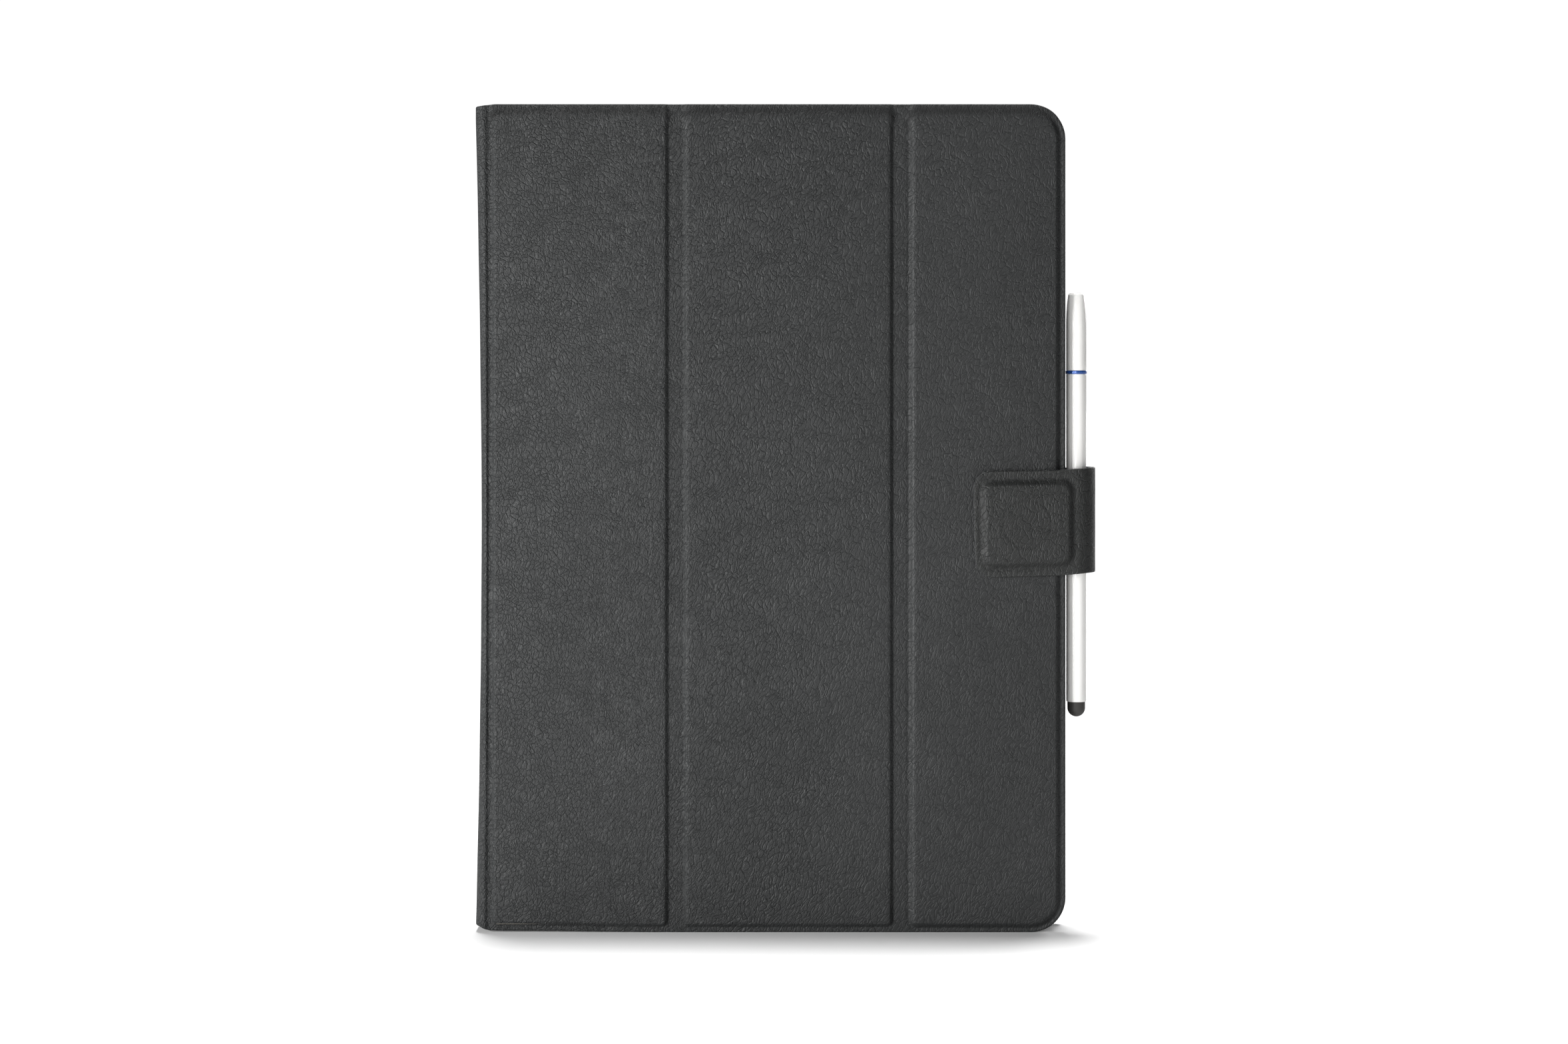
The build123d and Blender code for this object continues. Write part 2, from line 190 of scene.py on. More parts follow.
def leather(name, dark, light, crease_at=(-75.0, -10.0), depth=0.0003, least=0.2):
    """Grained PU leather: a fine pebble that turns into longer slanting creases across the cover."""
    m = Mat(name, Roughness=0.5, Specular_IOR_Level=0.30, Sheen_Weight=0.02, Sheen_Roughness=0.45)
    v = m.rest()
    w = warp(m, v, 0.11, 5.0)
    w = warp(m, w, 0.55, 0.9)
    # fine pebble
    peb_v = m.mapping(m.mapping(w, rot=(0, math.radians(-20), 0)), scale=(0.80, 0.7, 0.58))
    peb_d = m.cells(peb_v, 1.0)
    pebble = m.ramp(peb_d, 0.0, 0.16)
    # longer cells that lean to the right
    long_v = m.mapping(m.mapping(w, rot=(0, math.radians(-24), 0)), scale=(0.92, 0.6, 0.33), loc=(3.1, 7.7, 1.9))
    long_d = m.cells(long_v, 1.0)
    creased = m.ramp(long_d, 0.0, 0.15)
    # short deep strokes here and there
    str_v = m.mapping(m.mapping(w, rot=(0, math.radians(-27), 0)), scale=(0.55, 0.5, 0.13), loc=(11.0, 2.0, 5.0))
    stroke = m.ramp(m.cells(str_v, 1.0), 0.0, 0.045, 1.0, 0.0)
    gate = m.ramp(m.noise(w, 0.32, 1.0), 0.50, 0.62)
    stroke = m.math("MULTIPLY", stroke, gate)
    tiny = m.ramp(m.cells(w, 1.9), 0.0, 0.22)
    x = m.node("SeparateXYZ", ins={0: v}).outputs[0]
    patch = m.noise(v, 0.030, 2.0)
    across = m.math("ADD", x, m.math("MULTIPLY", m.math("SUBTRACT", patch, 0.5), 90.0))
    long = m.ramp(across, crease_at[0], crease_at[1], least, 1.0)
    mixh = m.node("Mix", data_type="FLOAT")
    m.link(long, mixh.inputs[0]); m.link(pebble, mixh.inputs[2]); m.link(creased, mixh.inputs[3])
    fine = m.noise(v, 4.5, 2.0)
    low = m.noise(m.mapping(v, scale=(0.8, 0.8, 0.45)), 0.33, 2.0)
    h = m.math("ADD", m.math("MULTIPLY", mixh.outputs[0], 0.62), m.math("MULTIPLY", tiny, 0.14))
    h = m.math("ADD", h, m.math("MULTIPLY", fine, 0.16))
    h = m.math("ADD", h, m.math("MULTIPLY", low, 0.9))
    h = m.math("SUBTRACT", h, m.math("MULTIPLY", m.math("MULTIPLY", stroke, long), 0.55))
    # the grain is shallower towards the free edge, where the cover is handled
    h = m.math("MULTIPLY", h, m.math("SUBTRACT", 1.0, m.math("MULTIPLY", m.ramp(across, -60.0, 60.0), 0.60)))
    m.bump(h, depth, 1.0)
    edge = m.node("Attribute", attribute_type="GEOMETRY", attribute_name="edge").outputs["Fac"]
    big = m.noise(v, 0.022, 3.0)
    tone = m.mix(m.ramp(big, 0.3, 0.7), dark, light)
    # colours for the painted highlights and the painted shade in the grain below
    highlight_tone = tuple(min(1.0, c * 2.1) for c in light)
    crease_shade_tone = tuple(c * 0.45 for c in dark)
    # painted highlight on the shoulders of the creases, painted shade in their bottoms
    d = m.node("Mix", data_type="FLOAT")
    m.link(long, d.inputs[0]); m.link(peb_d, d.inputs[2]); m.link(long_d, d.inputs[3])
    bottom = m.ramp(d.outputs[0], 0.0, 0.05, 1.0, 0.0)
    tone = m.mix(m.math("MULTIPLY", bottom, 0.5), tone, crease_shade_tone)
    shoulder_highlight = m.math("MULTIPLY", m.ramp(d.outputs[0], 0.05, 0.10), m.ramp(d.outputs[0], 0.11, 0.17, 1.0, 0.0))
    pick = m.ramp(m.noise(w, 0.75, 2.0), 0.50, 0.66)
    tone = m.mix(m.math("MULTIPLY", m.math("MULTIPLY", shoulder_highlight, pick), 0.65), tone, highlight_tone)
    # painted glints: small flecks of highlight colour, fewer where the creases are long
    glint_fleck = m.ramp(m.noise(w, 1.3, 1.0), 0.70, 0.76)
    tone = m.mix(m.math("MULTIPLY", glint_fleck, m.math("SUBTRACT", 0.5, m.math("MULTIPLY", long, 0.3))), tone, highlight_tone)
    # painted highlight on the raised edges, which are also a little smoother; painted shade at the feet of the raised
    # parts, on the flange and in the grooves, which are also a little rougher
    edge_highlight_and_polish = m.math("MAXIMUM", edge, 0.0)
    pressed_and_shaded = m.math("MAXIMUM", m.math("MULTIPLY", edge, -1.0), 0.0)
    tone = m.mix(m.math("MULTIPLY", edge_highlight_and_polish, 0.34), tone, tuple(c * 1.35 for c in light))
    tone = m.mix(m.math("MULTIPLY", pressed_and_shaded, 0.9), tone, tuple(c * 0.28 for c in dark))
    m.color(tone)
    r = m.math("ADD", m.ramp(m.noise(v, 0.09, 3.0), 0.3, 0.7, 0.47, 0.56), m.math("MULTIPLY", bottom, 0.12))
    r = m.math("ADD", r, m.math("MULTIPLY", pressed_and_shaded, 0.14))
    m.rough(m.math("SUBTRACT", r, m.math("MULTIPLY", edge_highlight_and_polish, 0.07)))
    return m.m


M = {}
M["leather_shell"] = leather("leather_shell", (0.0170, 0.0180, 0.0182), (0.0209, 0.0220, 0.0223), depth=0.00029)
# the strap's leather is a darker, greener copy of the shell's: painted shade on the strap, which is the same leather
M["leather_strap"] = leather("leather_strap", (0.0134, 0.0142, 0.0138), (0.0168, 0.0177, 0.0172), (-400.0, -300.0), 0.00032)


def soft(name, dark, light, coords="rest", weave=0.0):
    m = Mat(name, Roughness=0.92, Specular_IOR_Level=0.2, Sheen_Weight=0.35, Sheen_Roughness=0.4)
    v = m.rest() if coords == "rest" else m.obj()
    w = warp(m, v, 0.05, 6.0)
    mott = m.noise(w, 0.10, 4.0)
    nap = m.noise(m.mapping(v, scale=(2.2, 2.2, 0.55)), 1.6, 3.0, 0.6)
    f = m.math("ADD", m.math("MULTIPLY", m.ramp(mott, 0.3, 0.7), 0.6), m.math("MULTIPLY", nap, 0.4))
    edge = m.node("Attribute", attribute_type="GEOMETRY", attribute_name="edge").outputs["Fac"]
    # painted shade along the fold grooves, where the lining is pressed thin
    pressed_and_shaded = m.math("MAXIMUM", m.math("MULTIPLY", edge, -1.0), 0.0)
    m.color(m.mix(m.math("MULTIPLY", pressed_and_shaded, 0.7), m.mix(f, dark, light), tuple(c * 0.6 for c in dark)))
    m.rough(m.ramp(mott, 0.3, 0.7, 0.86, 0.97))
    m.bump(m.math("ADD", nap, m.math("MULTIPLY", m.noise(v, 6.0, 2.0), 0.5)), 0.00007, 0.8)
    return m.m


M["microfibre"] = soft("microfibre", (0.050, 0.052, 0.056), (0.075, 0.077, 0.082))


def moulded(name, dark, light, rough=(0.42, 0.52), spark=3.2, depth=0.00004):
    m = Mat(name, Roughness=0.45, Specular_IOR_Level=0.45)
    v = m.obj()
    a = m.noise(v, spark, 2.0)
    big = m.noise(v, 0.05, 2.0)
    m.color(m.mix(m.ramp(big, 0.3, 0.7), dark, light))
    m.rough(m.ramp(big, 0.3, 0.7, rough[0], rough[1]))
    m.bump(a, depth, 0.8)
    return m.m


M["tray_shell"] = moulded("tray_shell", (0.016, 0.016, 0.018), (0.022, 0.022, 0.024))
M["trim_plastic"] = moulded("trim_plastic", (0.020, 0.020, 0.022), (0.028, 0.028, 0.030), (0.30, 0.38), 5.0, 0.00002)
M["tip_rubber"] = moulded("tip_rubber", (0.026, 0.025, 0.024), (0.040, 0.038, 0.036), (0.5, 0.62), 6.0, 0.00003)


def greyboard():
    m = Mat("greyboard", Roughness=0.9, Specular_IOR_Level=0.2)
    v = m.obj()
    fib = m.noise(m.mapping(v, scale=(0.5, 1.0, 3.0)), 1.4, 5.0, 0.65)
    spots = m.ramp(m.noise(v, 0.8, 2.0), 0.62, 0.7)
    c = m.mix(m.ramp(fib, 0.3, 0.7), (0.17, 0.155, 0.13), (0.28, 0.26, 0.225))
    m.color(m.mix(m.math("MULTIPLY", spots, 0.5), c, (0.10, 0.09, 0.08)))
    m.rough(m.ramp(fib, 0.3, 0.7, 0.82, 0.95))
    m.bump(fib, 0.00008, 0.7)
    return m.m


M["greyboard"] = greyboard()


def metal(name, dark, light, rough=(0.25, 0.4), along=(0.3, 3.0, 3.0)):
    m = Mat(name, Metallic=1.0, Roughness=0.3)
    v = m.obj()
    brush = m.noise(m.mapping(v, scale=along), 4.0, 3.0)
    spot = m.noise(v, 0.25, 3.0)
    m.color(m.mix(m.ramp(spot, 0.35, 0.7), dark, light))
    m.rough(m.ramp(brush, 0.3, 0.7, rough[0], rough[1]))
    m.bump(brush, 0.000006, 0.6)
    return m.m


M["steel"] = metal("steel", (0.42, 0.42, 0.43), (0.56, 0.56, 0.57))
M["magnet_nickel"] = metal("magnet_nickel", (0.55, 0.52, 0.47), (0.68, 0.65, 0.60), (0.16, 0.26))
M["ferrule_metal"] = metal("ferrule_metal", (0.55, 0.55, 0.56), (0.7, 0.7, 0.71), (0.2, 0.3), (3.0, 3.0, 0.3))


def blue():
    m = Mat("blue_band", Metallic=0.35, Roughness=0.25, Coat_Weight=0.5, Coat_Roughness=0.08)
    v = m.obj()
    n = m.noise(m.mapping(v, scale=(3, 3, 0.6)), 3.0, 3.0)
    m.color(m.mix(m.ramp(n, 0.3, 0.7), (0.020, 0.075, 0.30), (0.032, 0.105, 0.38)))
    m.rough(m.ramp(n, 0.3, 0.7, 0.2, 0.32))
    m.bump(n, 0.000004, 0.5)
    return m.m


M["blue_band"] = blue()


def white_gloss():
    m = Mat("white_barrel", Roughness=0.16, Specular_IOR_Level=0.55, Coat_Weight=0.35, Coat_Roughness=0.05)
    v = m.obj()
    n = m.noise(v, 0.06, 3.0)
    m.color(m.mix(m.ramp(n, 0.3, 0.7), (0.90, 0.893, 0.868), (0.93, 0.925, 0.905)))
    m.rough(m.ramp(m.noise(v, 0.5, 3.0), 0.35, 0.7, 0.13, 0.20))
    m.bump(m.noise(v, 1.2, 1.0), 0.000003, 0.4)
    return m.m


M["white_barrel"] = white_gloss()


def elastic():
    m = Mat("elastic", Roughness=0.85, Specular_IOR_Level=0.25, Sheen_Weight=0.2)
    v = m.rest()
    z = m.node("SeparateXYZ", ins={0: v}).outputs[2]
    rib = m.math("SINE", m.math("MULTIPLY", z, 2 * math.pi / 1.0))
    knit = m.cells(m.mapping(v, scale=(2.2, 2.2, 1.4)), 1.2)
    m.color(m.mix(m.ramp(knit, 0.0, 0.4), (0.010, 0.010, 0.011), (0.030, 0.030, 0.032)))
    m.rough(m.ramp(knit, 0.0, 0.4, 0.92, 0.78))
    m.bump(m.math("ADD", m.math("MULTIPLY", rib, 0.35), m.ramp(knit, 0.0, 0.4)), 0.00010, 0.8)
    return m.m


M["elastic"] = elastic()

SLOT = {m["slot"]: m.get("nodes") for m in frame["record"].get("materials", [])}


# ---------------------------------------------------------------- mesh helpers
def spaced(a, b, step):
    n = max(1, int(round((b - a) / step)))
    return [a + (b - a) * i / n for i in range(n + 1)]


def lines(*runs):
    out = []
    for a, b, step in runs:
        out += spaced(a, b, step)
    out = sorted(out)
    keep = [out[0]]
    for v in out[1:]:
        if v - keep[-1] > 0.04:
            keep.append(v)
    return np.array(keep)


def smooth(t):
    t = np.clip(t, 0, 1)
    return t * t * (3 - 2 * t)


def rounded(x, z, x0, x1, z0, z1, rl, rr):
    """Distance inside a rectangle whose left corners have radius rl and right ones rr."""
    r = np.where(x > (x0 + x1) / 2, rr, rl)
    cx, cz = (x0 + x1) / 2, (z0 + z1) / 2
    qx, qz = np.abs(x - cx) - (x1 - x0) / 2 + r, np.abs(z - cz) - (z1 - z0) / 2 + r
    out = np.hypot(np.maximum(qx, 0), np.maximum(qz, 0)) + np.minimum(np.maximum(qx, qz), 0) - r
    return -out


def round_off(d, r):
    """How far an edge of radius r falls away at distance d from the outline."""
    d = np.clip(d, 0, r)
    return r - np.sqrt(np.maximum(0, r * r - (r - d) ** 2))


def finish_mesh(name, verts, faces, mat, edge=None, angle=48, rest=None):
    me = bpy.data.meshes.new(name)
    me.from_pydata([tuple(v) for v in (np.asarray(verts) * MM).tolist()], [], [tuple(f) for f in faces])
    bm = bmesh.new()
    bm.from_mesh(me)
    if edge is not None:
        layer = bm.verts.layers.float.new("edge")
        for v, e in zip(bm.verts, edge):
            v[layer] = float(e)
    bmesh.ops.recalc_face_normals(bm, faces=bm.faces)
    bm.to_mesh(me)
    bm.free()
    me.materials.append(mat)
    ob = bpy.data.objects.new(name, me)
    bpy.context.scene.collection.objects.link(ob)
    dress(ob, angle)
    return ob


def dress(ob, angle=48):
    """Smooth shading with sharp corners, and the place of each point at rest for the textures."""
    me = ob.data
    me.polygons.foreach_set("use_smooth", [True] * len(me.polygons))
    me.set_sharp_from_angle(angle=math.radians(angle))
    co = np.zeros(len(me.vertices) * 3, np.float32)
    me.vertices.foreach_get("co", co)
    a = me.attributes.get("rest") or me.attributes.new("rest", "FLOAT_VECTOR", "POINT")
    a.data.foreach_set("vector", co * 1000.0)
    me.update()


def slab(name, out, inn, m_dir, n_dir, loops, mat, right=True, edge=None, angle=48, left=False):
    """A closed sheet between two grids of points. Its bottom, top and, where asked, right or left edges follow loops of
    (inset, depth) from the outline; the other sides are cut square."""
    ni, nj = out.shape[:2]
    V = [out.reshape(-1, 3), inn.reshape(-1, 3)]
    E = [np.zeros(ni * nj) if edge is None else edge.reshape(-1), np.zeros(ni * nj)]
    base = ni * nj
    idx = lambda i, j: i * nj + j
    F = []
    for i in range(ni - 1):
        for j in range(nj - 1):
            a, b, c, d = idx(i, j), idx(i + 1, j), idx(i + 1, j + 1), idx(i, j + 1)
            F.append((a, b, c, d))
            F.append((base + d, base + c, base + b, base + a))
    bottom = [(i, 0) for i in range(ni)]
    top = [(i, nj - 1) for i in range(ni)]
    rside = [(ni - 1, j) for j in range(nj)]
    lside = [(0, j) for j in range(nj)]
    if right and not left:
        chains = [bottom + rside[1:] + top[::-1][1:]]
        cuts = [lside]
    elif left and not right:
        chains = [bottom[::-1] + lside[1:] + top[1:]]
        cuts = [rside]
    else:
        chains = [bottom, top]
        cuts = [lside, rside]
    count = 2 * base
    for chain in chains:
        rows = [[idx(*c) for c in chain]]
        for inset, depth in loops:
            pts = np.array([out[c] for c in chain], float)
            # back to the ideal outline, at the outer surface
            pts = pts + np.array([n_dir[c] * (loops_base[name] if name in loops_base else 0.0) for c in chain])
            pts = pts - np.array([m_dir[c] * inset + n_dir[c] * depth for c in chain])
            V.append(pts)
            E.append(np.zeros(len(chain)))
            rows.append(list(range(count, count + len(chain))))
            count += len(chain)
        rows.append([base + idx(*c) for c in chain])
        for a, b in zip(rows, rows[1:]):
            for k in range(len(chain) - 1):
                F.append((a[k], a[k + 1], b[k + 1], b[k]))
        F.append([r[0] for r in rows])
        F.append([r[-1] for r in rows][::-1])
    for cut in cuts:
        for a, b in zip(cut, cut[1:]):
            F.append((idx(*a), idx(*b), base + idx(*b), base + idx(*a)))
    return finish_mesh(name, np.concatenate(V), F, mat, np.concatenate(E), angle)


loops_base = {}


# ---------------------------------------------------------------- the cover's surfaces
def bow(z):
    """How far the spine curves in along its height."""
    return 1.85 * (1 - np.minimum(1, np.abs((z - 129.0) / 131.0)) ** 1.7)


def drift(x, z):
    """Moves the outline a little, as soft leather over board does: (dx, dz)."""
    dx = (bow(z) - 0.45) * (1 - smooth((x + 98.6) / 4.8))
    drop = 0.62 * smooth((-92.5 - x) / 6.1)
    lift = 1.5 * smooth((-94.0 - x) / 4.6) + 0.55 * smooth((-40.0 - x) / 50.0)
    dz = -drop * smooth((z - 200.0) / 64.0) + lift * smooth((60.0 - z) / 60.0)
    return dx, dz


def waves(x, z, k=1.0):
    """The unevenness of a padded, glued cover, in millimetres."""
    return k * (0.030 * np.sin(0.071 * x + 0.9 * np.sin(0.031 * z) + 0.6) * np.cos(0.043 * z + 0.4)
                + 0.022 * np.sin(0.123 * z + 0.08 * x + 1.3) * np.cos(0.057 * x)
                + 0.014 * np.sin(0.21 * x - 0.17 * z + 2.1))


Z_LINES = lines((0, 3.6, 0.24), (3.6, 11, 0.85), (11, 20, 2.0), (20, 245, 3.4), (245, 252, 2.0), (252, 260, 0.85),
                (260, 264, 0.24), *[(264 - 11 + 11 * math.sin(t), 264 - 11 + 11 * math.sin(t), 1) for t in np.linspace(0, 1.45, 9)],
                *[(11 - 11 * math.sin(t), 11 - 11 * math.sin(t), 1) for t in np.linspace(0, 1.45, 9)])


def right_limit(z):
    d = np.clip(np.maximum(CORNER - z, z - (H - CORNER)), 0, CORNER)
    return X_EDGE - (CORNER - np.sqrt(np.maximum(0, CORNER ** 2 - d ** 2)))


def to_outline(x, z):
    """Grid columns near the free edge follow its rounded corners."""
    xs = 60.0
    return np.where(x > xs, xs + (x - xs) * (right_limit(z) - xs) / (X_EDGE - xs), x)


def inside(x, z):
    """Distance from the cover's outline; the spine side has none."""
    return rounded(x, z, -400.0, X_EDGE, 0.0, H, 0.0, CORNER)


def outline_normal(x, z):
    e = 0.02
    gx = (inside(x + e, z) - inside(x - e, z)) / (2 * e)
    gz = (inside(x, z + e) - inside(x, z - e)) / (2 * e)
    ln = np.maximum(1e-9, np.hypot(gx, gz))
    return -gx / ln, -gz / ln


def plateau(x, z):
    """Height of the raised panels above the flange, and a mask of painted light near their edges: painted highlight
    (positive) on the raised edges, stronger towards each panel's left side, and painted shade (negative) at their feet,
    on the flange, along the top border and in the corner crease.
    """
    h = np.zeros_like(x)
    e = np.zeros_like(x)
    dark = np.zeros_like(x)
    for (a, b, rr) in RAISED:
        d = rounded(x, z, a, b, R_Z0, R_Z1, 1.7, rr)
        top = 1.0 - 0.10 * np.exp(-np.maximum(d - 0.9, 0) / 5.0)
        low = smooth((R_Z1 - 1.2 - z) / 3.5)
        head = 1 - low
        stay = 0.48 * head * smooth((np.minimum(x - a, b - x) + 0.55) / 1.65) * (rounded(x, z, a, b, R_Z0, H + 8, 1.7, rr) > -0.9)
        h = np.maximum(h, STEP * (stay + (1 - stay) * smooth((d + 0.55 + 1.35 * head) / (1.65 + 2.2 * head))) * top)
        left = np.clip((6.0 - (x - a)) / 6.0, 0, 1) * low
        h = h - (0.17 - 0.06 * left) * low * np.exp(-((d + 0.85) / 0.50) ** 2)
        # painted highlight along each panel's raised edge, stronger towards its left side and gone along the top border
        e = np.maximum(e, (0.35 + 0.65 * left) * low * np.exp(-((d - 0.55) / 0.42) ** 2))
        # painted shade at each panel's foot and on the flange beside it, strongest along the top border
        dark = np.maximum(dark, (0.08 + 0.72 * (1 - low)) * np.exp(-((d + 0.75 - 0.75 * (1 - low)) / (0.95 + 0.35 * (1 - low))) ** 2))
        dark = dark + 0.07 * smooth((-d - 0.3) / 1.0) * (x > -93.5)
    # a short crease where the leather is turned over the first panel's corner, with painted shade along it
    ax, az, bx, bz = -92.9, 260.3, -90.3, 261.5
    t = np.clip(((x - ax) * (bx - ax) + (z - az) * (bz - az)) / ((bx - ax) ** 2 + (bz - az) ** 2), 0, 1)
    off = np.hypot(x - ax - t * (bx - ax), z - az - t * (bz - az))
    h = h - 0.14 * np.exp(-(off / 0.26) ** 2)
    dark = dark + 0.6 * np.exp(-(off / 0.26) ** 2)
    return h, np.clip(e * (dark < 0.45) - dark * (1 - 0.6 * np.clip(e, 0, 1)), -1, 1)


def path_front(kind):
    """Section of the spine's front half: a list of (x, y, nx, ny), from the middle of the spine forward.
    kind shifts it inward by the thickness of what lies outside."""
    r = 2.6 - kind
    out = []
    for y in np.linspace(1.65, -3.0, 5)[:-1]:
        out.append((X_SPINE + kind, y, -1.0, 0.0))
    for t in np.linspace(180, 270, 11):
        a = math.radians(t)
        out.append((-96.0 + r * math.cos(a), -3.0 + r * math.sin(a), math.cos(a), math.sin(a)))
    return out


def path_back(kind):
    r = 2.6 - kind
    out = []
    for y in np.linspace(1.65, 6.3, 5)[:-1]:
        out.append((X_SPINE + kind, y, -1.0, 0.0))
    for t in np.linspace(180, 90, 11):
        a = math.radians(t)
        out.append((-96.0 + r * math.cos(a), 6.3 + r * math.sin(a), math.cos(a), math.sin(a)))
    return out


def build_shell(name, stations, mat, side, t, edge_r, loops, inset, right, raised=True, wave=1.0, shrink=0.0):
    """stations: (x, y, nx, ny) at the outer surface. side is -1 at the front of the case and 1 at its back."""
    S = np.array(stations)
    ni, nj = len(S), len(Z_LINES)
    z = np.tile(Z_LINES, (ni, 1))
    x = np.tile(S[:, 0:1], (1, nj))
    y = np.tile(S[:, 1:2], (1, nj))
    nx, ny = np.tile(S[:, 2:3], (1, nj)), np.tile(S[:, 3:4], (1, nj))
    flat = np.abs(ny) > 0.999
    x = np.where(flat, to_outline(x, z), x)
    d = inside(x, z)
    mx, mz = outline_normal(x, z)
    mx = np.where(x < 60, 0.0, mx)
    mz = np.where(x < 60, np.where(z < H / 2, -1.0, 1.0), mz)
    e = np.zeros_like(x)
    h = np.zeros_like(x)
    if raised:
        h, e = plateau(x, z)
        h = h * flat
        # from the spine's front face down to the flange
        y = np.where(flat, Y_SPINE_FRONT + (Y_FLANGE - Y_SPINE_FRONT) * smooth((x + 96.0) / 1.2), y)
    w = waves(x, z, wave) * smooth((d - 1.0) / 6.0)
    fall = round_off(d, edge_r)
    if not raised and side < 0:
        # the cloth is pressed thin along the folds, where there is no board under it; painted shade darkens the fold
        # grooves
        for (a, b) in ((-37.7, -32.4), (33.9, 39.8)):
            run = flat * smooth((x - a) / 1.1) * smooth((b - x) / 1.1)
            mid = np.exp(-((x - (a + b) / 2) / 0.5) ** 2) * flat
            fall = fall + 0.20 * run + 0.06 * mid
            e = e - 0.5 * run * (1 - 0.4 * mid)
    up = h + w
    if shrink:
        z = H / 2 + (z - H / 2) * (H - 2 * shrink) / H
        x = np.where(x > 60, 60 + (x - 60) * (X_EDGE - 60 - shrink) / (X_EDGE - 60), x)
    dx, dz = drift(x, z)
    proud = 0.35 if side < 0 else 0.0
    dx = dx + proud * smooth((x - 76.0) / 9.0)
    out = np.stack([x + nx * (up - fall) + dx, y + ny * (up - fall), z + dz], -1)
    # inner grid: moved in from the outline
    span = 3.2
    move = np.where(d < span, inset * (1 - d / span), 0.0)
    xi, zi = x - mx * move, z - mz * move
    hi = h
    dxi, dzi = drift(xi, zi)
    dxi = dxi + proud * smooth((xi - 76.0) / 9.0)
    inn = np.stack([xi + nx * (hi + w - t) + dxi, y + ny * (hi + w - t), zi + dzi], -1)
    m_dir = np.stack([mx, np.zeros_like(mx), mz], -1)
    n_dir = np.stack([nx, ny, np.zeros_like(nx)], -1)
    loops_base[name] = edge_r
    return slab(name, out, inn, m_dir, n_dir, loops, mat, right=right, edge=e)


def flat_run(x_lines, y, ny):
    return [(float(x), y, 0.0, ny) for x in x_lines]


MID1, MID2, MID3 = -65.6, 0.75, 63.35
skin_loops = [(0.03, 0.62), (0.12, 0.70)]
x1 = lines((-95.7, -94.0, 0.3), (-94.0, -91.8, 0.18), (-91.8, -88, 0.8), (-88, MID1, 3.2))
x2 = lines((MID1, -41, 3.2), (-41, -38.6, 0.8), (-38.6, -36.6, 0.18), (-36.6, -33.6, 0.4), (-33.6, -31.4, 0.18), (-31.4, -29, 0.8), (-29, MID2, 3.2))
x3 = lines((MID2, 30.6, 3.2), (30.6, 33.0, 0.8), (33.0, 35.0, 0.18), (35.0, 38.7, 0.4), (38.7, 40.8, 0.18), (40.8, 43.2, 0.8), (43.2, 75, 3.2),
           (75, 84, 1.6), (84, 85.2, 0.5), (85.2, 88.8, 0.18))

skin1 = build_shell("cover_leather_spine_side", path_front(0.0) + flat_run(x1, Y_FLANGE, -1.0), M["leather_shell"], -1,
                    0.7, 0.55, skin_loops, 0.5, False)
skin2 = build_shell("cover_leather_fold_1", flat_run(x2, Y_FLANGE, -1.0), M["leather_shell"], -1, 0.7, 0.55, skin_loops, 0.5, False)
skin3 = build_shell("cover_leather_fold_2", flat_run(x3, Y_FLANGE, -1.0), M["leather_shell"], -1, 0.7, 0.55, skin_loops, 0.5, True)
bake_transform(skin1)
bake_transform(skin2)
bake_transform(skin3)
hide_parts("spine_skin", "panel_1_skin")
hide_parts("panel_2_skin")
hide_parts("panel_3_skin")

# microfibre inside the front cover
lin_loops = [(0.0, 0.62), (0.06, 0.68)]


def path_front_lining():
    out = []
    for y in np.linspace(1.65, -2.6, 5)[:-1]:
        out.append((-96.5, y, 1.0, 0.0))
    for t in np.linspace(180, 270, 8):
        a = math.radians(t)
        out.append((-95.5 + 1.0 * math.cos(a), -2.6 + 1.0 * math.sin(a), -math.cos(a), -math.sin(a)))
    return out


def path_back_lining():
    out = []
    for y in np.linspace(1.65, 5.2, 5)[:-1]:
        out.append((-96.5, y, 1.0, 0.0))
    for t in np.linspace(180, 90, 8):
        a = math.radians(t)
        out.append((-95.5 + 1.0 * math.cos(a), 5.2 + 1.0 * math.sin(a), -math.cos(a), -math.sin(a)))
    return out


l1 = lines((-95.3, -93.2, 0.35), (-93, MID1, 3.2))
l2 = lines((MID1, -38.6, 3.2), (-38.6, -31.4, 0.5), (-31.4, MID2, 3.2))
l3 = lines((MID2, 33.0, 3.2), (33.0, 40.8, 0.5), (40.8, 75, 3.2), (75, 85, 1.6), (85, 88.65, 0.24))
lin1 = build_shell("cover_lining_spine_side", path_front_lining() + flat_run(l1, -3.6, 1.0), M["microfibre"], -1,
                   0.68, 0.3, lin_loops, 0.4, False, raised=False, wave=0.6)
lin2 = build_shell("cover_lining_fold_1", flat_run(l2, -3.6, 1.0), M["microfibre"], -1, 0.68, 0.3, lin_loops, 0.4, False, raised=False, wave=0.6)
lin3 = build_shell("cover_lining_fold_2", flat_run(l3, -3.6, 1.0), M["microfibre"], -1, 0.68, 0.3, lin_loops, 0.4, True, raised=False, wave=0.6)
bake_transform(lin1)
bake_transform(lin2)
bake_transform(lin3)
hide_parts("spine_lining", "panel_1_lining")
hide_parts("panel_2_lining")
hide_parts("panel_3_lining")


